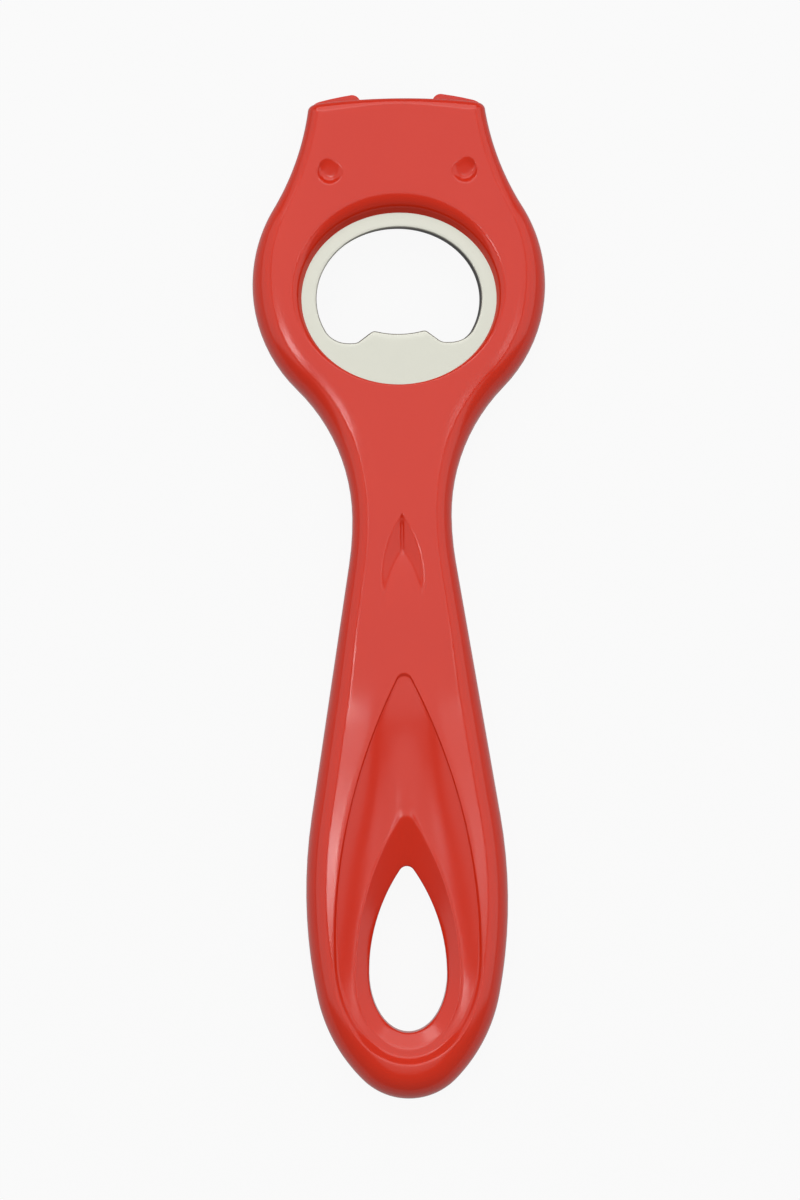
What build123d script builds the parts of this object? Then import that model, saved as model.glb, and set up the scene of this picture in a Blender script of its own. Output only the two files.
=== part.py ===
from build123d import *

import os
from math import sqrt

# Whole tool, in millimetres. It lies on its back, face up, with its head towards +Y.
# Distances along the tool are measured from the handle's end.
LENGTH = 195.0
PARTING = 5.0

# Outline of one side, from the handle's end to the head's end: tangent arcs and one straight flank
END_R, END_TURN = 12.8, 45.0
HEEL_R, HEEL_TURN = 31.5, 33.5
BELLY_R = 97.5
FLANK, FLANK_LEAN = 49.9, 9.2
NECK_R = 55.0
SHOULDER_R, SHOULDER_TURN = 35.5, 45.2
HEAD_R, HEAD_TURN = 28.0, 77.2
COLLAR_R, COLLAR_TURN = 49.8, 25.2

# End of the head: the face's edge is set back a little from the two lugs behind it
FACE_EDGE, LUG_EDGE = 194.3, 195.62
LUG_GAP, LUG_GAP_DEPTH, LUG_GAP_R = 14.0, 9.0, 2.0
LUG_OUTER_R, LUG_INNER_R = 3.2, 1.6

# Face and edges: the face's sides are rolled, its end is crisper and the back is bevelled
FACE = 11.8
FACE_ROLL, END_ROLL, BACK_BEVEL = 4.8, 1.4, 2.2

# Teardrops of the handle: pointed end, widest place, rounded end, half width
HOLE = (46.3, 24.2, 12.65, 7.57)
RECESS = (84.6, 27.0, 7.5, 14.6)
POINT_R = 1.6
# The recess is scooped across, and its step is deeper round the hanging hole than at its point
SCOOP_STATIONS = (2.0, 18.0, 34.0, 50.0, 66.0, 80.0, 90.0)
SCOOP_RADII = (60.0, 60.0, 54.0, 42.0, 32.0, 26.0, 26.0)
RECESS_STEPS = (0.9, 0.75, 0.5, 0.4, 0.35, 0.35, 0.35)
BEVEL_BOTTOM, BEVEL_TOP = 7.5, 11.7
BEVEL_GROWTH, POINT_GAIN = 3.6, 3.2
HOLE_BEVEL = 1.2

# Thumb notch of the neck, measured from the place where its floor meets the face
NOTCH_AT, NOTCH_TILT = 97.0, 7.0
NOTCH_FLOOR = (9.8, 3.0, 0.0, 2.6)
NOTCH_RIM = (19.5, 5.0, -3.0, 5.4)
NOTCH_ABOVE, NOTCH_BELOW = 0.3, 0.05
NOTCH_FLOOR_R = 0.4

# Steel cap lifter, tilted in its seat so that its far side lies deeper
SEAT_AT, SEAT_DEPTH, SEAT_TILT = 155.1, 2.0, 5.4
RIM_A, RIM_B, RIM_HIDDEN = 18.85, 16.75, 2.0
SEAT_REACH, SEAT_FLARE, SEAT_LIP = 8.0, 5.6, 0.35
PLATE = 2.5
SPIGOT = 5.0
BACK_REACH, BACK_FLARE, BACK_LIP = 10.0, 2.4, 0.8
FIT = 0.05

# Opening of the lifter, from the plate's centre
MOUTH_A, MOUTH_B = 15.95, 13.9
LOBE_AT, LOBE_R = -8.6, 3.8
LIP_AT, LIP_HALF, LIP_DIP, LIP_CORNER_R = -6.2, 5.0, 0.7, 0.8
LIP_FOOT, LIP_FOOT_R = 8.2, 2.0
STAMPED_EDGE = 0.3

# Inside: the hollow of the handle and neck, and the two locating posts of the head
WALL = 2.6
CORE_FLOOR, CORE_ROOF, CORE_END = 2.4, 7.5, 127.0
RIB_AT, RIB = 86.0, 2.0
BOSS = 4.9
POST_X, POST_AT, POST_R, POST_TOP = 13.0, 179.8, 1.9, 8.0
SINK_R, SINK_DEPTH = 6.5, 0.35

UPWARDS = (Align.CENTER, Align.CENTER, Align.MIN)


def level(z, distance=0.0):
    """Plane parallel to the back, with its origin on the centre line."""
    return Plane(origin=(0, distance - LENGTH / 2, z))


def across(distance):
    """Plane square to the tool's length, X across and Y up."""
    return Plane(origin=(0, distance - LENGTH / 2, 0), x_dir=(1, 0, 0), z_dir=(0, -1, 0))


def sagitta(radius, half_chord):
    """Fall of an arc from its middle to the ends of a chord."""
    return radius - sqrt(radius**2 - half_chord**2)


def outline(z, edge, inset=0.0):
    """The tool's outline at one height, with the head ending at the given edge."""
    with BuildSketch(level(z)) as face:
        with BuildLine():
            end = JernArc((0, 0), (1, 0), END_R, END_TURN)
            heel = JernArc(end @ 1, end % 1, HEEL_R, HEEL_TURN)
            belly = JernArc(heel @ 1, heel % 1, BELLY_R, 90 + FLANK_LEAN - END_TURN - HEEL_TURN)
            flank = Line(belly @ 1, belly @ 1 + FLANK * (belly % 1))
            neck = JernArc(flank @ 1, flank % 1, NECK_R, -FLANK_LEAN)
            shoulder = JernArc(neck @ 1, neck % 1, SHOULDER_R, -SHOULDER_TURN)
            head = JernArc(shoulder @ 1, shoulder % 1, HEAD_R, HEAD_TURN)
            collar = JernArc(head @ 1, head % 1, COLLAR_R, -COLLAR_TURN)
            mirror(about=Plane.YZ)
            corner = collar @ 1
            ThreePointArc(corner, (0, edge), (-corner.X, corner.Y))
        make_face()
        if inset:
            offset(amount=-inset, mode=Mode.REPLACE)
    return face.sketch


def grown(teardrop, by):
    """The same teardrop with its edge moved outwards."""
    point, widest, end, half = teardrop
    return (point + POINT_GAIN * by, widest, end - by, half + by)


def half_width(teardrop, distance):
    """Half the width of a teardrop at a distance along it."""
    point, widest, end, half = teardrop
    if distance <= end or distance >= point:
        return 0.0
    if distance < widest:
        return half * sqrt(1 - ((widest - distance) / (widest - end)) ** 2)
    flank_r = (half**2 + (point - widest) ** 2) / (2 * half)
    return half - sagitta(flank_r, distance - widest)


def teardrop_face(plane, teardrop, point_r=POINT_R):
    """A teardrop: two arcs that meet in a rounded point, closed by half an ellipse."""
    point, widest, end, half = teardrop
    halfway = (point + widest) / 2
    with BuildSketch(plane) as face:
        with BuildLine():
            for side in (1, -1):
                bulge = (side * half_width(teardrop, halfway), halfway)
                ThreePointArc((side * half, widest), bulge, (0, point))
            EllipticalCenterArc((0, widest), half, widest - end, start_angle=180, arc_size=180)
        make_face()
        fillet(face.vertices().sort_by(Axis.Y)[-1], point_r)
    return face.sketch


def oval(plane, margin=0.0):
    """The visible oval of the cap lifter, with a margin all round."""
    with BuildSketch(plane) as face:
        Ellipse(RIM_A + margin, RIM_B + margin)
    return face.sketch


def mouth(plane):
    """The lifter's opening: an oval with a two-cornered lip standing into it between two lobes."""
    with BuildSketch(plane) as face:
        Ellipse(MOUTH_A, MOUTH_B)
        with BuildLine():
            ThreePointArc((-LIP_HALF, LIP_AT), (0, LIP_AT - LIP_DIP), (LIP_HALF, LIP_AT))
            Polyline(
                (LIP_HALF, LIP_AT),
                (LIP_FOOT, LOBE_AT),
                (MOUTH_A, LOBE_AT),
                (MOUTH_A, -MOUTH_B),
                (-MOUTH_A, -MOUTH_B),
                (-MOUTH_A, LOBE_AT),
                (-LIP_FOOT, LOBE_AT),
                (-LIP_HALF, LIP_AT),
            )
        make_face(mode=Mode.SUBTRACT)
        # Corners from the middle outwards: two of the lip, two feet, two of the lobes
        corners = face.vertices().sort_by(lambda corner: abs(corner.X))
        fillet(corners[:2], LIP_CORNER_R)
        for foot in corners[2:4]:
            fillet(face.vertices().sort_by_distance(foot)[0], LIP_FOOT_R)
        for lobe in corners[4:6]:
            fillet(face.vertices().sort_by_distance(lobe)[0], LOBE_R)
    return face.sketch


seat = level(FACE - SEAT_DEPTH, SEAT_AT).rotated((-SEAT_TILT, 0, 0))
underside = seat.offset(-PLATE)
post_places = [(side * POST_X, POST_AT - LENGTH / 2) for side in (-1, 1)]

# Space above the scooped floor of the recess
with BuildPart() as scoop:
    span = RECESS[3] + WALL
    for station, radius, step in zip(SCOOP_STATIONS, SCOOP_RADII, RECESS_STEPS):
        width = half_width(RECESS, station)
        floor = FACE - step - sagitta(radius, width)
        side_height = floor + sagitta(radius, span)
        with BuildSketch(across(station)):
            with BuildLine():
                ThreePointArc((-span, side_height), (0, floor), (span, side_height))
                Polyline((span, side_height), (span, LENGTH), (-span, LENGTH), (-span, side_height))
            make_face()
    loft()
    extrude(teardrop_face(level(0), RECESS), amount=LENGTH, mode=Mode.INTERSECT)

# Bevel that falls from the scoop into the hanging hole
with BuildPart() as bevel:
    hole_side = teardrop_face(level(BEVEL_BOTTOM), HOLE)
    scoop_side = teardrop_face(level(BEVEL_TOP), grown(HOLE, BEVEL_GROWTH))
    loft([hole_side, scoop_side], ruled=True)

# Thumb notch: walls that fall to a floor, which rises to meet the face
with BuildPart() as thumb_notch:
    tilted = level(FACE - NOTCH_BELOW, NOTCH_AT).rotated((-NOTCH_TILT, 0, 0))
    notch_floor = teardrop_face(tilted, NOTCH_FLOOR, NOTCH_FLOOR_R)
    notch_rim = teardrop_face(level(FACE + NOTCH_ABOVE, NOTCH_AT), NOTCH_RIM)
    loft([notch_floor, notch_rim], ruled=True)

# Hollow of the handle and neck, with a rib across it and a boss left round the hanging hole
with BuildPart() as core:
    extrude(outline(CORE_FLOOR, FACE_EDGE, WALL), amount=CORE_ROOF - CORE_FLOOR)
    with Locations((0, CORE_END - LENGTH / 2, 0)):
        Box(LENGTH, LENGTH, LENGTH, align=(Align.CENTER, Align.MAX, Align.CENTER), mode=Mode.INTERSECT)
    with Locations((0, RIB_AT - LENGTH / 2, 0)):
        Box(LENGTH, RIB, LENGTH, mode=Mode.SUBTRACT)
    extrude(teardrop_face(level(0), grown(HOLE, BOSS)), amount=LENGTH, mode=Mode.SUBTRACT)

# Front shell
with BuildPart() as front_shell:
    extrude(outline(PARTING, FACE_EDGE), amount=FACE - PARTING)
    face_rim = front_shell.faces().sort_by(Axis.Z)[-1].edges().sort_by(Axis.Y)
    fillet(face_rim[:-1], FACE_ROLL)
    end_rim = front_shell.faces().sort_by(Axis.Y)[-1].edges().sort_by(Axis.Z)
    fillet(end_rim[1:], END_ROLL)
    # Seat of the steel: it goes in from behind, under a lip whose wall leans outwards
    extrude(oval(seat, RIM_HIDDEN + FIT), amount=-SEAT_REACH, mode=Mode.SUBTRACT)
    loft([oval(seat), oval(seat.offset(SEAT_REACH), SEAT_FLARE)], ruled=True, mode=Mode.SUBTRACT)
    seat_wall = front_shell.faces().sort_by_distance(seat.origin + (0, RIM_B, SEAT_LIP))[0]
    chamfer(seat_wall.edges().sort_by(Axis.Z)[-1], SEAT_LIP)
    # Recess with its bevel, hanging hole and thumb notch
    add(scoop.part, mode=Mode.SUBTRACT)
    add(bevel.part, mode=Mode.SUBTRACT)
    extrude(teardrop_face(level(0), HOLE), amount=LENGTH, mode=Mode.SUBTRACT)
    add(thumb_notch.part, mode=Mode.SUBTRACT)
    # Sockets of the posts, and the sink marks over them
    with Locations(*[(*place, FACE - SINK_DEPTH + SINK_R) for place in post_places]):
        Sphere(SINK_R, rotation=(90, 0, 0), mode=Mode.SUBTRACT)
    with Locations(*[(*place, PARTING) for place in post_places]):
        Cylinder(POST_R + FIT, POST_TOP + FIT - PARTING, align=UPWARDS, mode=Mode.SUBTRACT)
    add(core.part, mode=Mode.SUBTRACT)

# Rear shell
with BuildPart() as rear_shell:
    extrude(outline(0, LUG_EDGE), amount=PARTING)
    end_corners = rear_shell.edges().filter_by(Axis.Z).sort_by(Axis.Y)[-2:]
    fillet(end_corners, LUG_OUTER_R)
    chamfer(rear_shell.faces().sort_by(Axis.Z)[0].edges(), BACK_BEVEL)
    # Gap between the two lugs
    with BuildSketch(level(0, LUG_EDGE)):
        RectangleRounded(LUG_GAP, 2 * LUG_GAP_DEPTH, LUG_GAP_R)
    extrude(amount=PARTING, mode=Mode.SUBTRACT)
    gap_corners = rear_shell.edges().filter_by(Axis.Z).sort_by(lambda edge: edge.center().Y)[-2:]
    fillet(gap_corners, LUG_INNER_R)
    # Spigot that clamps the plate, and the flared way out at the back
    extrude(oval(underside, RIM_HIDDEN - FIT), amount=-SPIGOT)
    extrude(oval(underside, RIM_HIDDEN + FIT), amount=PARTING, mode=Mode.SUBTRACT)
    loft([oval(underside), oval(underside.offset(-BACK_REACH), BACK_FLARE)], ruled=True, mode=Mode.SUBTRACT)
    # Hanging hole, with its back edge and the seat's bevelled
    extrude(teardrop_face(level(0), HOLE), amount=LENGTH, mode=Mode.SUBTRACT)
    hole_rim, seat_rim = rear_shell.faces().sort_by(Axis.Z)[0].inner_wires().sort_by(Axis.Y)
    chamfer(hole_rim.edges(), HOLE_BEVEL)
    chamfer(seat_rim.edges(), BACK_LIP)
    # Posts
    with Locations(*[(*place, CORE_FLOOR) for place in post_places]):
        Cylinder(POST_R, POST_TOP - CORE_FLOOR, align=UPWARDS)
    add(core.part, mode=Mode.SUBTRACT)

# Steel cap lifter
with BuildPart() as cap_lifter:
    extrude(oval(seat, RIM_HIDDEN), amount=-PLATE)
    extrude(mouth(seat), amount=-PLATE, mode=Mode.SUBTRACT)
    upper_face = cap_lifter.faces().sort_by(Axis.Z)[-1]
    chamfer(upper_face.inner_wires()[0].edges(), STAMPED_EDGE)

os.makedirs("parts", exist_ok=True)
front_shell.part.label = "front_shell"
rear_shell.part.label = "rear_shell"
cap_lifter.part.label = "cap_lifter"
for piece in (front_shell.part, rear_shell.part, cap_lifter.part):
    export_step(piece, f"parts/{piece.label}.step")
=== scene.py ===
from math import cos, pi, radians, sin, sqrt

import bpy
import numpy as np
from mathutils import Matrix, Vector


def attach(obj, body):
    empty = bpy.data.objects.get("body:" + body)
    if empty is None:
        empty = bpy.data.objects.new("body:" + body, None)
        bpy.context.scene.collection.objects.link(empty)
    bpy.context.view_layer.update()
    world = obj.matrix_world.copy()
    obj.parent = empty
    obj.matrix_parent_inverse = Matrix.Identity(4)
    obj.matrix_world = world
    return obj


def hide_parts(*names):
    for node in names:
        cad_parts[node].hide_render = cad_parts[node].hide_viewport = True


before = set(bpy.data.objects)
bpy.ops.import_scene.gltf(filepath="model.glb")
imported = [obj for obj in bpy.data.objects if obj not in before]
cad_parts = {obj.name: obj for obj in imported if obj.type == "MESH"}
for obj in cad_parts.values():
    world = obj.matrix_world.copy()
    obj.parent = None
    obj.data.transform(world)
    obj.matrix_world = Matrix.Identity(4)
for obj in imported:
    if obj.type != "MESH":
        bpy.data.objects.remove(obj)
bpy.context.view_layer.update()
bpy.ops.object.select_all(action="DESELECT")

# Sizes are in millimetres, as on the drawing. Distances along the tool start at the handle's end.
MM = 0.001
LENGTH = 195.0
PARTING = 5.0
SEAM = 0.14

# Outline of the right side: radius and turn of each arc, and the length of the one straight flank
LEGS = (
    (12.8, 45.0),
    (31.5, 33.5),
    (97.5, 20.7),
    (None, 49.9),
    (55.0, -9.2),
    (35.5, -45.2),
    (28.0, 77.2),
    (49.8, -24.5),
)
TRACE_COUNT = 1600

# Where the face ends on the middle line, and how far its outline keeps inside that of the rear moulding
FACE_EDGE = 193.7
WITHIN = 0.03

# Values that change along the tool are averaged over this way to both sides
BLEND_WAY, BLEND_COUNT = 6.0, 9

# Section of the face: a rolled edge, and on the handle and the head a rim that slopes outwards
FACE = 11.8
ROLL_AT = (0.0, 20.0, 40.0, 90.0, 112.0, 135.0, 160.0, 178.0, 195.0)
ROLL_IN = (5.2, 4.5, 4.0, 3.9, 3.4, 4.0, 4.0, 2.6, 2.2)
ROLL_STEEP, WALL_TOP = 1.25, 5.7
CROWN_AT = (0.0, 15.0, 27.0, 36.0, 50.0, 62.0, 73.0, 80.0, 87.5, 97.0, 119.0, 130.0, 145.0, 158.0, 170.0)
CROWN_SLOPE = (0.06, 0.08, 0.12, 0.158, 0.158, 0.156, 0.148, 0.13, 0.0, 0.0, 0.0, 0.184, 0.166, 0.152, 0.0)
CROWN_IN = (7.0, 7.2, 7.5, 7.6, 7.6, 8.4, 10.4, 10.6, 9.8, 8.8, 6.8, 6.8, 6.8, 6.8, 6.8)
CROWN_EASE = 2.2
END_ROLL = 1.2

# Edge band: its width, the lowest sine at which its roll may start, and its rows
EDGE_BAND, BAND_SINE, BAND_ROWS = 3.0, -0.8, 15

# Teardrops of the handle: pointed end, widest place, rounded end, half width
HOLE = (46.3, 24.2, 13.05, 7.57)
CREASE = (56.0, 24.0, 10.3, 9.8)
RECESS = (84.6, 27.0, 6.7, 14.6)
POINT_R = 1.6
FLANK_COUNT, POINT_COUNT = 240, 40

# Recess: radius of the scooped floor, and the step down to it from the face
SCOOP_AT = (20.0, 45.0, 60.0, 80.0)
SCOOP_R = (60.0, 45.0, 30.0, 23.0)
STEP_AT = (7.0, 18.0, 36.0, 56.0)
STEP_WIDTH = (2.0, 1.6, 0.7, 0.35)
STEP_DEPTH = (0.95, 0.8, 0.48, 0.36)

# Floor of the recess: a brow just before the bevel, a low spine beyond the hole, and the bevel itself
BROW_AT = (8.0, 16.0, 30.0, 48.0, 54.0)
BROW_RISE = (0.05, 0.16, 0.235, 0.21, 0.0)
BROW_BACK, BROW_HALF = 0.65, 0.6
SPINE_AT, SPINE_HALF, SPINE_RISE, SPINE_START = (57.0, 72.0), 2.4, 0.56, 4.0
BEVEL_AT = (14.0, 22.0, 32.0, 44.0)
BEVEL_BOTTOM = (9.3, 8.5, 7.7, 7.3)
BEVEL_ROUND, BEVEL_ROUND_SHARE, FLOOR_ROUND_SHARE = 0.45, 0.4, 0.5

# Cuts across the neck, by run along the outline, and the counts of the sheets' faces
CUT_HANDLE, CUT_HEAD = 98.0, 138.0
ALONG_HANDLE, ALONG_NECK, ALONG_HEAD, ALONG_END = 200, 130, 160, 30
ACROSS_CUT, CUT_CROWDING = 30, 1.5

# Rows of the handle's sheet: face, step, floor, crease, bevel and edge of the hole
HANDLE_FACE_ROWS, HANDLE_FACE_CROWDING = 22, 0.8
STEP_PARTS = (0.08, 0.2, 0.35, 0.5, 0.65, 0.8, 0.92, 1.0)
STEP_LINES, LAST_LINE_SLACK = 12, 0.001
FLOOR_ROWS, FLOOR_CROWDING = 30, 1.5
CREASE_ROWS, BEVEL_PARTS, HOLE_EDGE_ROWS = 7, (0.25, 0.5, 0.75), 6
TIP_SHARE = 0.975

# Thumb notch: teardrops of its rim and floor, where the floor leaves the face, and where its rim is crisp
NOTCH_RIM = (113.4, 100.2, 90.2, 4.6)
NOTCH_FLOOR = (106.2, 97.0, 89.2, 2.8)
NOTCH_FADE, NOTCH_DEPTH, NOTCH_TIP_DEPTH = 94.0, 1.15, 0.3
NOTCH_DIVE, NOTCH_WALL = 1.8, 0.3
NOTCH_CRISP, NOTCH_CRISP_AT = 0.5, (102.0, 109.0)

# Slit at the top of the notch, with eased ends and a square section
SLIT_AT, SLIT_HALF, SLIT_DEPTH = (105.8, 112.2), 0.34, 0.24
SLIT_END, SLIT_SQUARE = 0.8, 4

# Seat of the steel, with its leaning wall and rolled lip
SEAT_AT, SEAT_DEPTH, SEAT_TILT = 155.1, 2.0, 5.4
RIM_A, RIM_B, RIM_HIDDEN, FIT = 18.85, 16.75, 2.0, 0.05
SEAT_LEAN = 0.45
LIP_ROLL, LIP_SHARE = 2.2, 0.6
LIP_PASSES = 8

# Rows of the head's sheet, and the angles round the seat at which the cut and the end begin
HEAD_FACE_ROWS, HEAD_FACE_CROWDING = 44, 0.9
LIP_ROWS, SEAT_PARTS = 10, (0.3, 0.6, 0.9, 1.0)
CUT_SWING, END_SWING = -74.0, 66.0
END_ROWS = 9

# Sink marks of the head: dishes whose floor falls towards a short wall on their outer lower side
SINK_X, SINK_AT, SINK_R, SINK_DEPTH, SINK_LEAN = 13.0, 179.8, 2.4, 1.15, 35.0
SINK_SQUARE = 3

# Stamped plate and its opening, from the plate's centre
PLATE = 2.5
MOUTH_A, MOUTH_B = 15.95, 13.9
LOBE_AT, LOBE_CUT = -8.6, 2.9
LIP_AT, LIP_HALF, LIP_DIP, LIP_CUT = -6.2, 5.0, 0.7, 0.55
LIP_FOOT, LIP_FOOT_CUT = 8.2, 0.8
STAMPED_ROLL, SHEAR_DRIFT = 0.3, (-0.38, 0.10)

# Counts of the opening's points, and the rows of the plate's sheet
FAR_COUNT, LOBE_COUNT, LIP_CORNER_COUNT, LIP_DIP_COUNT = 200, 40, 20, 60
ROUND_MOUTH = 360
PLATE_PARTS, STAMPED_ROWS, SHEAR_PARTS = (0.3, 0.6, 0.9, 1.0), 7, (0.3, 0.65, 1.0)

# Sewing of the sheets: merging distance, sides of the largest gap that is filled, and angles of sharp edges
MERGE = 0.004
GAP_SIDES = 24
MOULDED_SHARP, STAMPED_SHARP = 50, 35

# Allowance for rounding, and how many points are measured at a time
ROUNDING = 1e-9
BLOCK = 4000


def outline(run):
    """Points of the outline's right side by run from the handle's end, and the directions inwards."""
    points, inward = np.empty((len(run), 2)), np.empty((len(run), 2))
    at, heading, start = np.zeros(2), 0.0, 0.0
    for radius, amount in LEGS:
        beyond = run >= start - ROUNDING
        along = run[beyond] - start
        if radius is None:
            ahead, length = np.full_like(along, heading), amount
            points[beyond] = at + np.outer(along, (cos(heading), sin(heading)))
            at = at + length * np.array((cos(heading), sin(heading)))
        else:
            turn = radians(amount)
            side = np.sign(turn) * radius
            ahead, length = heading + along / side, abs(turn) * radius
            centre = at + side * np.array((-sin(heading), cos(heading)))
            points[beyond] = centre + side * np.column_stack((np.sin(ahead), -np.cos(ahead)))
            heading += turn
            at = centre + side * np.array((sin(heading), -cos(heading)))
        inward[beyond] = np.column_stack((-np.sin(ahead), np.cos(ahead)))
        start += length
    return points + WITHIN * inward, inward


WHOLE_RUN = sum(amount if radius is None else radius * abs(radians(amount)) for radius, amount in LEGS)
traced_runs = np.linspace(0, WHOLE_RUN, TRACE_COUNT)
trace = outline(traced_runs)[0]
corner_x, corner_at = trace[-1]
END_R = (corner_x**2 + (FACE_EDGE - corner_at) ** 2) / (2 * (FACE_EDGE - corner_at))


def end_edge(x):
    """The gently domed edge of the head's end."""
    return FACE_EDGE - END_R + np.sqrt(END_R**2 - np.asarray(x) ** 2)


def ease(share):
    """Goes from 0 to 1 with level ends."""
    share = np.clip(share, 0, 1)
    return share * share * (3 - 2 * share)


def blend(at, stations, values):
    """Values that change from station to station along the tool, averaged over a short way."""
    shifts = np.linspace(-BLEND_WAY, BLEND_WAY, BLEND_COUNT)
    return np.mean([np.interp(at + shift, stations, values) for shift in shifts], axis=0)


def spaced(path, share):
    """Points of a path by share of the way along it."""
    steps = np.hypot(*np.diff(path, axis=0).T)
    travelled = np.concatenate(((0,), np.cumsum(steps))) / steps.sum()
    return np.column_stack([np.interp(share, travelled, column) for column in path.T])


def depth_inside(points):
    """Distance of points from the outline, and how far along the tool the nearest place is."""
    flat = points.reshape(-1, 2)
    nearest, place = np.empty(len(flat)), np.empty(len(flat))
    for first in range(0, len(flat), BLOCK):
        block = flat[first:first + BLOCK]
        gaps = np.hypot(block[:, :1] - trace[:, 0], block[:, 1:] - trace[:, 1])
        index = gaps.argmin(axis=1)
        nearest[first:first + BLOCK] = gaps[np.arange(len(block)), index]
        place[first:first + BLOCK] = trace[index, 1]
    return nearest.reshape(points.shape[:-1]), place.reshape(points.shape[:-1])


def crown_fall(inside, place):
    """Fall of the sloping rim at distances from the outline."""
    within = np.clip(blend(place, CROWN_AT, CROWN_IN) - inside, 0, None)
    easing = np.minimum(within, CROWN_EASE) ** 2 / (2 * CROWN_EASE)
    return blend(place, CROWN_AT, CROWN_SLOPE) * (easing + np.clip(within - CROWN_EASE, 0, None))


def roll_fall(place):
    """Fall of the rolled edge, which always ends above the side wall."""
    return np.minimum(ROLL_STEEP * blend(place, ROLL_AT, ROLL_IN), FACE - WALL_TOP - crown_fall(0.0, place))


def face_height(points):
    """Height of the face before anything is cut into it."""
    inside, place = depth_inside(points)
    reach = np.clip(1 - inside / blend(place, ROLL_AT, ROLL_IN), 0, 1)
    return FACE - roll_fall(place) * (1 - np.sqrt(1 - reach**2)) - crown_fall(inside, place)


def half_width(teardrop, at):
    """Half the width of a teardrop at distances along the tool."""
    point, widest, end, half = teardrop
    flank_r = (half**2 + (point - widest) ** 2) / (2 * half)
    round_end = half * np.sqrt(np.clip(1 - ((widest - at) / (widest - end)) ** 2, 0, 1))
    flank = half - flank_r + np.sqrt(np.clip(flank_r**2 - (at - widest) ** 2, 0, None))
    return np.where(at < widest, round_end, np.clip(flank, 0, None))


def teardrop_side(teardrop, share):
    """Points of a teardrop's right side, by share of the way from its round end to its point."""
    point, widest, end, half = teardrop
    flank_r = (half**2 + (point - widest) ** 2) / (2 * half)
    tip = widest + sqrt((flank_r - POINT_R) ** 2 - (flank_r - half) ** 2)
    slant = np.arctan2(tip - widest, flank_r - half)
    swing = np.linspace(-pi / 2, 0, FLANK_COUNT)
    rise = np.linspace(0, slant, FLANK_COUNT)[1:]
    nose = np.linspace(slant, pi / 2, POINT_COUNT)[1:]
    path = np.concatenate((
        np.column_stack((half * np.cos(swing), widest + (widest - end) * np.sin(swing))),
        np.column_stack((half - flank_r + flank_r * np.cos(rise), widest + flank_r * np.sin(rise))),
        np.column_stack((POINT_R * np.cos(nose), tip + POINT_R * np.sin(nose))),
    ))
    return spaced(path, share)


def shrunk(teardrop, by):
    """The same teardrop with its edge moved inwards, and its slender point twice as far."""
    point, widest, end, half = teardrop
    return (point - 2 * by, widest, end + by, half - by)


def with_height(plan, height):
    """Points of a plan, each at its height."""
    return np.concatenate((plan, np.broadcast_to(height, plan.shape[:-1])[..., None]), axis=-1)


def between(first, last, shares):
    """Rows of points on the straight ways from one line of points to another."""
    shares = np.asarray(shares)[:, None, None]
    return first[None] * (1 - shares) + last[None] * shares


def rounded(before, corner, after, count):
    """Rows of points that round a corner line off, from the line before it to the line after it."""
    shares = np.linspace(0, 1, count)[:, None, None]
    return (1 - shares) ** 2 * before + 2 * shares * (1 - shares) * corner + shares**2 * after


def sheet(points):
    """A grid whose vertices are moved to the given rows of points."""
    rows, columns = points.shape[:2]
    bpy.ops.mesh.primitive_grid_add(x_subdivisions=columns - 1, y_subdivisions=rows - 1, size=2)
    mesh = bpy.context.object.data
    plain = np.empty(rows * columns * 3)
    mesh.vertices.foreach_get("co", plain)
    spots = np.rint((plain.reshape(-1, 3) + 1) / 2 * (columns - 1, rows - 1, 0)).astype(int)
    placed = points[spots[:, 1], spots[:, 0]] - (0, LENGTH / 2, 0)
    mesh.vertices.foreach_set("co", (placed * MM).ravel())
    mesh.update()
    return bpy.context.object


def sewn(name, sheets, mirrored, sharp):
    """One closed piece from sheets that share their edges."""
    bpy.ops.object.select_all(action="DESELECT")
    for piece in [sheet(points) for points in sheets]:
        piece.select_set(True)
    bpy.ops.object.join()
    piece = bpy.context.object
    piece.name = name
    bpy.ops.object.transform_apply(location=True, rotation=True, scale=True)
    bpy.ops.object.mode_set(mode="EDIT")
    bpy.ops.mesh.select_all(action="SELECT")
    bpy.ops.mesh.remove_doubles(threshold=MERGE * MM)
    bpy.ops.object.mode_set(mode="OBJECT")
    if mirrored:
        mirror = piece.modifiers.new("Other side", "MIRROR")
        mirror.merge_threshold = MERGE * MM
        bpy.ops.object.modifier_apply(modifier=mirror.name)
    bpy.ops.object.mode_set(mode="EDIT")
    bpy.ops.mesh.select_all(action="SELECT")
    bpy.ops.mesh.fill_holes(sides=GAP_SIDES)
    bpy.ops.mesh.select_all(action="SELECT")
    bpy.ops.mesh.normals_make_consistent(inside=False)
    bpy.ops.object.mode_set(mode="OBJECT")
    bpy.ops.object.shade_smooth_by_angle(angle=radians(sharp))
    return piece


# Edge band: the roll, the side wall and the seam, from the handle's end to the head's end
def edge_band(run):
    """Rows of points from the inner edge of the roll down to the seam."""
    rim, inward = outline(run)
    place = rim[:, 1]
    reach = blend(place, ROLL_AT, ROLL_IN)
    first = np.arcsin(np.maximum(1 - EDGE_BAND / reach, BAND_SINE))
    rows = []
    for share in np.linspace(0, 1, BAND_ROWS):
        angle = first + (pi / 2 - first) * share
        inside = reach * (1 - np.sin(angle))
        rolled = roll_fall(place) * (1 - np.cos(np.maximum(angle, 0)))
        rows.append(with_height(rim + inward * inside[:, None], FACE - rolled - crown_fall(inside, place)))
    rows.append(with_height(rim, (rows[-1][:, 2] + PARTING + SEAM) / 2))
    rows.append(with_height(rim, PARTING + 2 * SEAM))
    rows.append(with_height(rim, PARTING + SEAM))
    rows.append(with_height(rim + inward * SEAM, PARTING))
    return np.array(rows)


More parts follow.
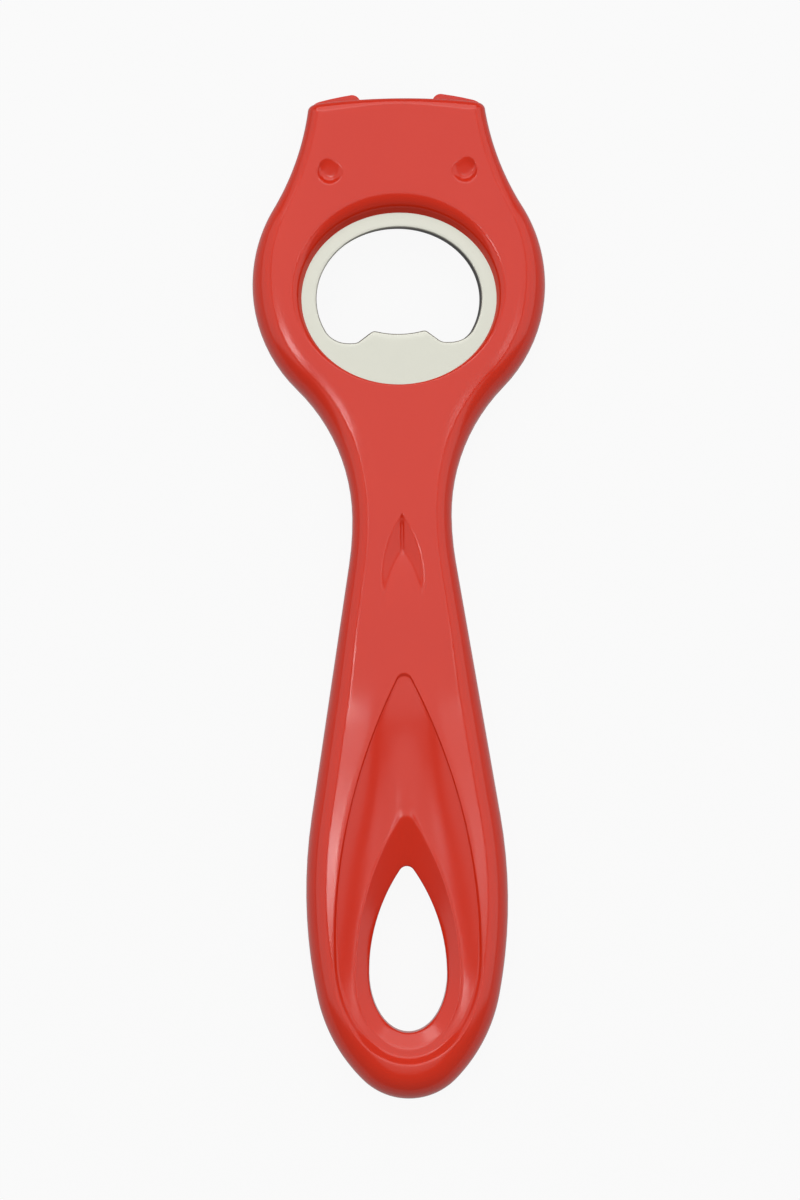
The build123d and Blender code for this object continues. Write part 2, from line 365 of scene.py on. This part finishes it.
END_RUN = np.interp(corner_at - END_ROLL, trace[:, 1], traced_runs)
handle_band = edge_band(np.linspace(0, CUT_HANDLE, ALONG_HANDLE + 1))
neck_band = edge_band(np.linspace(CUT_HANDLE, CUT_HEAD, ALONG_NECK + 1))
head_band = edge_band(np.linspace(CUT_HEAD, END_RUN, ALONG_HEAD + 1))
cut_shares = 1 - (1 - np.linspace(0, 1, ACROSS_CUT + 1)) ** CUT_CROWDING


def to_middle(corner):
    """Points straight across from a corner of the edge band to the middle of the tool."""
    return np.column_stack((corner[0] * (1 - cut_shares), np.full(len(cut_shares), corner[1])))


handle_cut = to_middle(handle_band[0, -1])
head_cut = to_middle(neck_band[0, -1])

# Handle: face, step of the recess, scooped floor, bevel and wall of the hanging hole
handle_rim = np.concatenate((handle_band[0, :, :2], handle_cut[1:]))
handle_share = np.concatenate((
    np.linspace(0, TIP_SHARE, ALONG_HANDLE + 1),
    TIP_SHARE + (1 - TIP_SHARE) * cut_shares[1:],
))
recess_line = teardrop_side(RECESS, handle_share)
recess_height = face_height(recess_line)
step_width = blend(recess_line[:, 1], STEP_AT, STEP_WIDTH)
step_depth = blend(recess_line[:, 1], STEP_AT, STEP_DEPTH)


def shrunk_line(by):
    """The recess line moved inwards by a width that changes along it."""
    widths = np.linspace(0, max(STEP_WIDTH), STEP_LINES)
    family = np.array([teardrop_side(shrunk(RECESS, width), handle_share) for width in widths])
    place = np.clip(by / widths[1], 0, STEP_LINES - 1 - LAST_LINE_SLACK)
    low = place.astype(int)
    columns = np.arange(len(handle_share))
    part = (place - low)[:, None]
    return family[low, columns] * (1 - part) + family[low + 1, columns] * part


def scoop_height(points, to_crease):
    """Height of the scooped floor, with its spine and the slight brow just before the bevel."""
    x, at = np.abs(points[..., 0]), points[..., 1]
    half = half_width(RECESS, at)
    rim = np.interp(at, recess_line[:, 1], recess_height - step_depth)
    scoop_r = blend(at, SCOOP_AT, SCOOP_R)
    sag = np.sqrt(scoop_r**2 - np.minimum(x, half) ** 2) - np.sqrt(scoop_r**2 - half**2)
    brow = blend(at, BROW_AT, BROW_RISE) * np.exp(-(((to_crease - BROW_BACK) / BROW_HALF) ** 2))
    near, far = SPINE_AT
    spine = SPINE_RISE * ease((far - at) / (far - near)) * np.exp(-((x / SPINE_HALF) ** 2))
    return rim - sag + brow + spine * ease((at - HOLE[0]) / SPINE_START)


def handle_rows():
    """Rows of points from the handle's rim in to the hanging hole, and down its wall."""
    foot = shrunk_line(step_width)
    crease, hole = teardrop_side(CREASE, handle_share), teardrop_side(HOLE, handle_share)
    floor_length = np.hypot(*(crease - foot).T)
    bevel_length = np.hypot(*(hole - crease).T)
    foot_height, crease_height = scoop_height(foot, floor_length), scoop_height(crease, 0.0)
    rows = []
    face_rows = between(handle_rim, recess_line, np.linspace(0, 1, HANDLE_FACE_ROWS) ** HANDLE_FACE_CROWDING)
    rows.extend(with_height(face_rows, face_height(face_rows)))
    for part in STEP_PARTS:
        plan = recess_line + (foot - recess_line) * part
        rows.append(with_height(plan, recess_height + (foot_height - recess_height) * ease(part)))
    to_round = 1 - np.minimum(BEVEL_ROUND / floor_length, FLOOR_ROUND_SHARE)
    for part in 1 - (1 - np.linspace(0, 1, FLOOR_ROWS)[1:]) ** FLOOR_CROWDING:
        share = part * to_round
        plan = foot + (crease - foot) * share[:, None]
        rows.append(with_height(plan, scoop_height(plan, floor_length * (1 - share))))
    bevel_bottom = blend(hole[:, 1], BEVEL_AT, BEVEL_BOTTOM)
    corner, edge = with_height(crease, crease_height), with_height(hole, bevel_bottom)
    round_share = np.minimum(BEVEL_ROUND / bevel_length, BEVEL_ROUND_SHARE)[:, None]
    after = corner + (edge - corner) * round_share
    before_edge = corner + (edge - corner) * (1 - round_share)
    below_edge = edge - (0, 0, BEVEL_ROUND)
    rows.extend(rounded(rows[-1], corner, after, CREASE_ROWS)[1:])
    rows.extend(between(after, before_edge, BEVEL_PARTS))
    rows.extend(rounded(before_edge, edge, below_edge, HOLE_EDGE_ROWS))
    rows.append(with_height(hole, (bevel_bottom + PARTING) / 2))
    rows.append(with_height(hole, PARTING))
    rows = np.array(rows)
    rows[0, :ALONG_HANDLE + 1] = handle_band[0]
    return rows


handle_sheet = handle_rows()


# Neck: its face, with the thumb notch
def notch_depth(points):
    """Depth of the thumb notch below the face, with the slit at its top."""
    x, at = np.abs(points[..., 0]), points[..., 1]
    rim, floor = half_width(NOTCH_RIM, at), half_width(NOTCH_FLOOR, at)
    apex, tip = NOTCH_FLOOR[0], NOTCH_RIM[0]
    rising = np.clip((at - NOTCH_FADE) / (apex - NOTCH_FADE), 0, 1) ** NOTCH_DIVE
    closing = 1 - (1 - NOTCH_TIP_DEPTH / NOTCH_DEPTH) * np.clip((at - apex) / (tip - apex), 0, 1)
    wall = np.clip((rim - x) / np.maximum(rim - floor, NOTCH_WALL), 0, 1)
    soft_at, crisp_at = NOTCH_CRISP_AT
    crisp = NOTCH_CRISP * ease((at - soft_at) / (crisp_at - soft_at))
    profile = crisp * wall + (1 - crisp) * ease(wall)
    near, far = SLIT_AT
    slit_ends = ease((at - near) / SLIT_END) * ease((far - at) / SLIT_END)
    slit = slit_ends * np.exp(-((x / SLIT_HALF) ** SLIT_SQUARE))
    return NOTCH_DEPTH * np.minimum(rising, closing) * profile + SLIT_DEPTH * slit


neck_middle = np.column_stack((
    np.zeros(ALONG_NECK + 1),
    np.linspace(handle_cut[-1, 1], head_cut[-1, 1], ALONG_NECK + 1),
))
neck_rows = between(neck_band[0, :, :2], neck_middle, cut_shares)
neck_sheet = with_height(neck_rows, face_height(neck_rows) - notch_depth(neck_rows))
neck_sheet[0] = neck_band[0]

# Head: face, lip, leaning wall and counterbore of the seat
end_corner = head_band[0, -1, :2]
end_shares = np.linspace(0, 1, ALONG_END + 1)
end_x = end_corner[0] * (1 - end_shares)
corner_setback = end_edge(end_corner[0]) - END_ROLL - end_corner[1]
end_line = np.column_stack((end_x, end_edge(end_x) - END_ROLL - (1 - ease(end_shares)) * corner_setback))
head_rim = np.concatenate((head_cut[::-1], head_band[0, 1:, :2], end_line[1:]))
head_swing = np.radians(np.concatenate((
    np.interp(1 - cut_shares[::-1], (0, 1), (-90, CUT_SWING)),
    np.linspace(CUT_SWING, END_SWING, ALONG_HEAD + 1)[1:],
    np.linspace(END_SWING, 90, ALONG_END + 1)[1:],
)))
tilt = radians(SEAT_TILT)
SEAT_MIDDLE = np.array((0.0, SEAT_AT, FACE - SEAT_DEPTH))
SEAT_FRAME = np.array(((1, 0, 0), (0, cos(tilt), -sin(tilt)), (0, sin(tilt), cos(tilt))))


def on_seat(x, y, rise):
    """Points given across, along and above the tilted seat."""
    return SEAT_MIDDLE + np.stack(np.broadcast_arrays(x, y, rise), axis=-1) @ SEAT_FRAME


def seat_oval(swing, margin, rise):
    """Points of the seat's oval, widened by a margin and lifted off the seat."""
    return on_seat((RIM_A + margin) * np.cos(swing), (RIM_B + margin) * np.sin(swing), rise)


def sink_depth(points):
    """Depth of the two sink marks."""
    across, along = np.abs(points[..., 0]) - SINK_X, points[..., 1] - SINK_AT
    lean = radians(SINK_LEAN)
    onwards = (across * sin(lean) - along * cos(lean)) / SINK_R
    aside = (across * cos(lean) + along * sin(lean)) / SINK_R
    wall = np.clip(1 - (onwards**2 + aside**2) ** SINK_SQUARE, 0, 1)
    return SINK_DEPTH * wall * np.clip(1 + onwards, 0, 2) / 2


def head_rows():
    """Rows of points from the head's rim in over the lip of the seat, and down its counterbore."""
    rise = np.full(len(head_swing), SEAT_DEPTH)
    for _ in range(LIP_PASSES):
        lip = seat_oval(head_swing, SEAT_LEAN * rise, rise)
        rise = rise + face_height(lip[:, :2]) - lip[:, 2]
    roll = np.minimum(LIP_ROLL, LIP_SHARE * rise)
    lip_out = seat_oval(head_swing, SEAT_LEAN * rise + roll, rise)
    lip_out[:, 2] = face_height(lip_out[:, :2])
    wall_top = rise - roll
    lip_in = seat_oval(head_swing, SEAT_LEAN * wall_top, wall_top)
    face_rows = between(head_rim, lip_out[:, :2], np.linspace(0, 1, HEAD_FACE_ROWS) ** HEAD_FACE_CROWDING)
    bore = seat_oval(head_swing, RIM_HIDDEN + FIT, 0)
    rows = list(with_height(face_rows, face_height(face_rows) - sink_depth(face_rows)))
    rows.extend(rounded(lip_out, lip, lip_in, LIP_ROWS)[1:])
    rows.extend(between(lip_in, seat_oval(head_swing, 0, 0), SEAT_PARTS))
    rows.append(bore)
    rows.append(with_height(bore[:, :2], PARTING))
    rows = np.array(rows)
    rows[0, ACROSS_CUT:ACROSS_CUT + ALONG_HEAD + 1] = head_band[0]
    return rows


head_sheet = head_rows()


# End of the head: its section carried over a small roll to the domed end, and the end itself
def end_rows():
    """Rows of points that carry the head's section over the small roll."""
    section = np.concatenate((head_band[::-1, -1], head_sheet[0, ACROSS_CUT + ALONG_HEAD + 1:]))
    tangent = np.gradient(section[:, (0, 2)], axis=0)
    tangent[0] = tangent[1] = (0, 1)
    outward = np.column_stack((tangent[:, 1], -tangent[:, 0]))
    outward /= np.hypot(*outward.T)[:, None]
    lifted = section[:, 2] > PARTING + SEAM
    rows = []
    for angle in np.linspace(0, pi / 2, END_ROWS):
        ring = section.copy()
        inset = END_ROLL * (1 - cos(angle))
        ring[:, 0] -= outward[:, 0] * inset
        ring[:, 2] -= np.where(lifted, outward[:, 1], 0) * inset
        ring[:, 1] += (end_edge(ring[:, 0]) - section[:, 1]) * sin(angle)
        ring[-1, 0] = 0
        rows.append(ring)
    return np.array(rows)


def cap_rows(contour):
    """The flat end inside its rolled contour, whose first part is the side and the rest the top."""
    side, top = contour[:len(head_band)], contour[len(head_band) - 1:]
    up = ((side[:, 2] - PARTING) / (side[-1, 2] - PARTING))[:, None]
    over = (1 - top[:, 0] / top[0, 0])[None]
    middle_z = PARTING + (top[-1, 2] - PARTING) * up
    x = (1 - over) * (side[:, :1] + up * (top[None, :1, 0] - side[-1, 0]))
    z = (1 - up) * PARTING + up * top[None, :, 2] + (1 - over) * side[:, 2:] + over * middle_z
    z -= (1 - up) * PARTING + up * ((1 - over) * top[0, 2] + over * top[-1, 2])
    return np.stack((x, end_edge(x), z), axis=-1)


end_sheet = end_rows()
cap_sheet = cap_rows(end_sheet[-1])

# Underside, which lies on the rear moulding
under_handle_cut = with_height(to_middle(handle_band[-1, -1]), PARTING)
under_head_cut = with_height(to_middle(neck_band[-1, -1]), PARTING)
under_middle = np.linspace(under_handle_cut[-1], under_head_cut[-1], ALONG_NECK + 1)
handle_under = np.stack((np.concatenate((handle_band[-1], under_handle_cut[1:])), handle_sheet[-1]))
neck_under = between(neck_band[-1], under_middle, cut_shares)
head_under = np.stack((
    np.concatenate((under_head_cut[::-1], head_band[-1, 1:], cap_sheet[0, 1:])),
    head_sheet[-1],
))

front_moulding = sewn(
    "front_moulding",
    (
        handle_band, neck_band, head_band, handle_sheet, neck_sheet, head_sheet, end_sheet, cap_sheet,
        handle_under, neck_under, head_under,
    ),
    mirrored=True,
    sharp=MOULDED_SHARP,
)
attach(front_moulding, "root")
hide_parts("front_shell")


# Stamped plate: its outer edge, upper face, rolled mouth, sheared wall and underside
def mouth_side(share):
    """Points of the opening's right side, from its far end to the middle of the lip."""
    lobe = np.array((MOUTH_A * sqrt(1 - (LOBE_AT / MOUTH_B) ** 2), LOBE_AT))
    foot, lip = np.array((LIP_FOOT, LOBE_AT)), np.array((LIP_HALF, LIP_AT))
    falling = (foot - lip) / np.hypot(*(foot - lip))
    lobe_swing = np.arcsin(LOBE_AT / MOUTH_B) + LOBE_CUT / MOUTH_A
    swing = np.linspace(pi / 2, lobe_swing, FAR_COUNT)
    far_side = np.column_stack((MOUTH_A * np.cos(swing), MOUTH_B * np.sin(swing)))
    lip_end = np.array((LIP_HALF - LIP_CUT, LIP_AT - 2 * LIP_DIP * LIP_CUT / LIP_HALF))
    dip = np.linspace(1, 0, LIP_DIP_COUNT)
    dip_y = lip_end[1] - (LIP_DIP + lip_end[1] - LIP_AT) * (1 - dip**2)
    path = np.concatenate((
        far_side,
        rounded(far_side[-1:], lobe, lobe - (LOBE_CUT, 0), LOBE_COUNT)[1:, 0],
        rounded(foot + (LIP_FOOT_CUT, 0), foot, foot - LIP_FOOT_CUT * falling, LIP_CORNER_COUNT)[:, 0],
        rounded(lip + LIP_CUT * falling, lip, lip_end, LIP_CORNER_COUNT)[:, 0],
        np.column_stack((lip_end[0] * dip, dip_y))[1:],
    ))
    return spaced(path, share)


def lifter_rows():
    """Rows of points once round the plate's section, from its lower outer edge back to it."""
    side = mouth_side(np.linspace(0, 1, ROUND_MOUTH // 2 + 1))
    mouth = np.concatenate((side, side[-2::-1] * (-1, 1)))
    swing = pi / 2 - np.linspace(0, 2 * pi, ROUND_MOUTH + 1)
    along = np.roll(mouth[:-1], -1, axis=0) - np.roll(mouth[:-1], 1, axis=0)
    along = np.concatenate((along, along[:1]))
    steel_side = np.column_stack((-along[:, 1], along[:, 0]))
    steel_side /= np.hypot(*steel_side.T)[:, None]
    edge = mouth + STAMPED_ROLL * steel_side
    rim = np.column_stack(((RIM_A + RIM_HIDDEN) * np.cos(swing), (RIM_B + RIM_HIDDEN) * np.sin(swing)))
    rows = [on_seat(*rim.T, -PLATE), on_seat(*rim.T, 0.0)]
    rows.extend(on_seat(*plan.T, 0.0) for plan in between(rim, edge, PLATE_PARTS))
    for angle in np.linspace(0, pi / 2, STAMPED_ROWS)[1:]:
        plan = mouth + STAMPED_ROLL * (1 - sin(angle)) * steel_side
        rows.append(on_seat(*plan.T, -STAMPED_ROLL * (1 - cos(angle))))
    for part in SHEAR_PARTS:
        plan = mouth + part * np.array(SHEAR_DRIFT)
        rows.append(on_seat(*plan.T, -STAMPED_ROLL - part * (PLATE - STAMPED_ROLL)))
    rows.append(rows[0])
    return np.array(rows)


cap_plate = sewn("cap_plate", (lifter_rows(),), mirrored=False, sharp=STAMPED_SHARP)
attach(cap_plate, "root")
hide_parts("cap_lifter")


class Signal:
    """A socket of a finish, so that shader maths reads as arithmetic."""

    def __init__(self, finish, socket):
        self.finish, self.socket = finish, socket

    def maths(self, operation, first, second):
        return self.finish.node("Math", {"operation": operation}, {0: first, 1: second})

    def __add__(self, other):
        return self.maths("ADD", self, other)

    __radd__ = __add__

    def __sub__(self, other):
        return self.maths("SUBTRACT", self, other)

    def __rsub__(self, other):
        return self.maths("SUBTRACT", other, self)

    def __mul__(self, other):
        return self.maths("MULTIPLY", self, other)

    __rmul__ = __mul__


class Finish:
    """A procedural material whose patterns lie on the object's own coordinates."""

    def __init__(self, name):
        self.material = bpy.data.materials.new(name)
        self.material.use_nodes = True
        self.tree = self.material.node_tree
        self.tree.nodes.clear()

    def node(self, kind, settings, sockets, output=0):
        """Adds a node: its settings first, then the values and links of its sockets."""
        node = self.tree.nodes.new("ShaderNode" + kind)
        for key, value in settings.items():
            setattr(node, key, value)
        for key, value in sockets.items():
            if isinstance(value, Signal):
                self.tree.links.new(value.socket, node.inputs[key])
            else:
                node.inputs[key].default_value = value
        return Signal(self, node.outputs[output]) if node.outputs else None

    def noise(self, place, scale, detail):
        return self.node("TexNoise", {}, {"Vector": place, "Scale": scale, "Detail": detail})

    def ramp(self, signal, low, high):
        """Goes from 0 to 1 while the signal goes from low to high."""
        return self.node("MapRange", {"interpolation_type": "SMOOTHSTEP"}, {0: signal, 1: low, 2: high})

    def tint(self, share, first, last):
        """Goes from the first colour to the last. The first may come from another node."""
        start = first if isinstance(first, Signal) else (*first, 1)
        return self.node("Mix", {"data_type": "RGBA"}, {"Factor": share, "A": start, "B": (*last, 1)}, 2)

    def show(self, shader):
        self.node("OutputMaterial", {}, {"Surface": shader})
        return self.material


def red_plastic():
    """Moulded gloss plastic: slow flow marks, faint orange peel, dust specks and handling scuffs."""
    finish = Finish("red_gloss_plastic")
    deep_red, bright_red = (0.595, 0.018, 0.003), (0.635, 0.025, 0.005)
    place = finish.node("TexCoord", {}, {}, "Object")
    flow = finish.noise(place, scale=38.0, detail=3.0)
    peel = finish.noise(place, scale=700.0, detail=2.0)
    grain = finish.noise(place, scale=5200.0, detail=2.0)
    specks = finish.ramp(finish.noise(place, scale=2600.0, detail=1.0), low=0.72, high=0.78)
    drawn_out = {"Vector": place, "Scale": (2600.0, 90.0, 600.0), "Rotation": (0, 0, 0.5)}
    handled = finish.node("Mapping", {}, drawn_out)
    scuffs = finish.ramp(finish.noise(handled, scale=1.0, detail=2.0), low=0.66, high=0.80)
    colour = finish.tint(flow, deep_red, bright_red)
    relief = peel * 0.8 + grain * 0.2 - scuffs * 0.15
    bump = finish.node("Bump", {}, {"Height": relief, "Strength": 0.22, "Distance": 0.00003})
    roughness = 0.13 + 0.05 * flow + 0.05 * scuffs + 0.06 * specks
    return finish.show(finish.node(
        "BsdfPrincipled",
        {},
        {"Base Color": colour, "Roughness": roughness, "IOR": 1.5, "Normal": bump},
    ))


def stamped_steel():
    """Matt stamped steel with soft blotches and rolling grain. Its sideways-facing walls, the sheared wall
    of the mouth among them, are rougher and painted near-black as painted shade.
    """
    finish = Finish("stamped_steel")
    dull_steel, clear_steel = (0.435, 0.435, 0.382), (0.498, 0.498, 0.437)
    # Near-black grey for the walls: partly the duller sheared steel, partly painted shade of walls that face
    # sideways
    shaded_sheared_grey = (0.08, 0.08, 0.075)
    place = finish.node("TexCoord", {}, {}, "Object")
    blotch = finish.noise(place, scale=110.0, detail=4.0)
    rolled = finish.node("Mapping", {}, {"Vector": place, "Scale": (220.0, 5200.0, 900.0)})
    grain = finish.noise(rolled, scale=1.0, detail=3.0)
    normal = finish.node("NewGeometry", {}, {}, "Normal")
    upward = finish.node("VectorMath", {"operation": "DOT_PRODUCT"}, {0: normal, 1: (0, 0, 1)}, "Value")
    # Mask of surfaces that face sideways: their colour is darkened as painted shade, and their roughness is
    # raised for the sheared steel
    sheared_and_shaded = finish.ramp(upward * upward, low=0.25, high=0.02)
    plain = finish.tint(blotch, dull_steel, clear_steel)
    colour = finish.tint(sheared_and_shaded, plain, shaded_sheared_grey)
    bump = finish.node("Bump", {}, {"Height": grain, "Strength": 0.25, "Distance": 0.00001})
    roughness = 0.34 + 0.12 * blotch + 0.15 * sheared_and_shaded
    return finish.show(finish.node(
        "BsdfPrincipled",
        {},
        {"Base Color": colour, "Metallic": 1.0, "Roughness": roughness, "Normal": bump},
    ))


def studio_floor():
    """Pale paper that the camera sees as an even white, with its shadow kept faint."""
    finish = Finish("studio_floor")
    seen = finish.node("LightPath", {}, {}, "Is Camera Ray")
    mirrored = finish.node("LightPath", {}, {}, "Is Glossy Ray")
    through = finish.node("LightPath", {}, {}, "Is Transmission Ray")
    paper = finish.node("BsdfDiffuse", {}, {"Color": (0.35, 0.35, 0.35, 1.0)})
    glow = finish.node("Emission", {}, {"Color": (1.0, 1.0, 1.0, 1.0), "Strength": 1.0})
    glowing = 0.93 * (seen + through) + 0.3 * mirrored
    return finish.show(finish.node("MixShader", {}, {0: glowing, 1: paper, 2: glow}))


red, steel = red_plastic(), stamped_steel()
for piece, material in (
    (front_moulding, red),
    (cap_plate, steel),
    (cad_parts["rear_shell"], red),
):
    piece.data.materials.clear()
    piece.data.materials.append(material)

# Floor, lamps and camera, in metres
FLOOR_SIZE = 6.0
bpy.ops.object.select_all(action="DESELECT")
bpy.ops.mesh.primitive_plane_add(size=FLOOR_SIZE, location=(0, 0, 0))
floor = bpy.context.object
floor.name = "floor"
floor.data.materials.append(studio_floor())


def softbox(name, place, aim, size, brightness):
    """A rectangular lamp of a given brightness that faces a point."""
    bpy.ops.object.light_add(type="AREA", location=place)
    lamp = bpy.context.object
    lamp.name = name
    lamp.data.shape = "RECTANGLE"
    lamp.data.size, lamp.data.size_y = size
    lamp.data.energy = brightness * pi * size[0] * size[1]
    away = lamp.location - Vector(aim)
    lamp.rotation_euler = away.to_track_quat("Z", "Y").to_euler()


STRIP_OUT, STRIP_HEIGHT, STRIP_WIDTH = 0.335, 1.0, 0.06
LEFT, RIGHT = -1, 1


def strip(name, side, along, length, brightness):
    """A narrow lamp high beside the tool, which the sloping rim mirrors as a long highlight."""
    place = (side * STRIP_OUT, along, STRIP_HEIGHT)
    softbox(name, place, (0, along, 0), (length, STRIP_WIDTH), brightness)


softbox("overhead_panel", (0, 0.2, 1.3), (0, 0.2, 0), (0.96, 1.0), 1.08)
softbox("far_panel", (0, 0.92, 1.1), (0, 0, 0), (1.6, 1.0), 1.7)
softbox("left_panel", (-1.0, 0.1, 0.7), (0, 0, 0), (1.2, 1.35), 0.80)
softbox("right_panel", (1.0, 0.1, 0.7), (0, 0, 0), (1.2, 1.35), 0.92)
strip("left_strip", LEFT, -0.0825, 0.075, 12.5)
strip("left_strip_upper", LEFT, -0.025, 0.04, 8.5)
strip("left_strip_end", LEFT, 0.03, 0.07, 1.4)
strip("right_strip", RIGHT, -0.075, 0.11, 3.0)
strip("right_strip_end", RIGHT, 0.02, 0.08, 1.4)
softbox("catch_light", (-0.5, 0.6, 0.95), (0, 0, 0), (0.3, 0.22), 2.4)

WORLD_LIGHT = 0.28
world = bpy.data.worlds.new("studio")
bpy.context.scene.world = world
world.use_nodes = True
world.node_tree.nodes["Background"].inputs["Color"].default_value = (1.0, 1.0, 1.0, 1.0)
world.node_tree.nodes["Background"].inputs["Strength"].default_value = WORLD_LIGHT

# Camera over the tool, looking straight down, at the picture's scale on the height of the outline
PICTURE_HEIGHT, PIXELS_PER_MM = 1200, 5.151
FRAME_HEIGHT = PICTURE_HEIGHT / PIXELS_PER_MM * MM
CAMERA_HEIGHT = 1.0
OUTLINE_HEIGHT = 5.5 * MM
CAMERA_PLACE = (-0.6 * MM, -0.7 * MM, CAMERA_HEIGHT)
CAMERA_TURN = radians(-0.78)
SENSOR_HEIGHT = 24.0
bpy.ops.object.camera_add(location=CAMERA_PLACE, rotation=(0, 0, CAMERA_TURN))
camera = bpy.context.object
camera.data.sensor_fit = "VERTICAL"
camera.data.sensor_height = SENSOR_HEIGHT
camera.data.lens = SENSOR_HEIGHT * (CAMERA_HEIGHT - OUTLINE_HEIGHT) / FRAME_HEIGHT
bpy.context.scene.camera = camera
bpy.context.scene.view_settings.view_transform = "Standard"
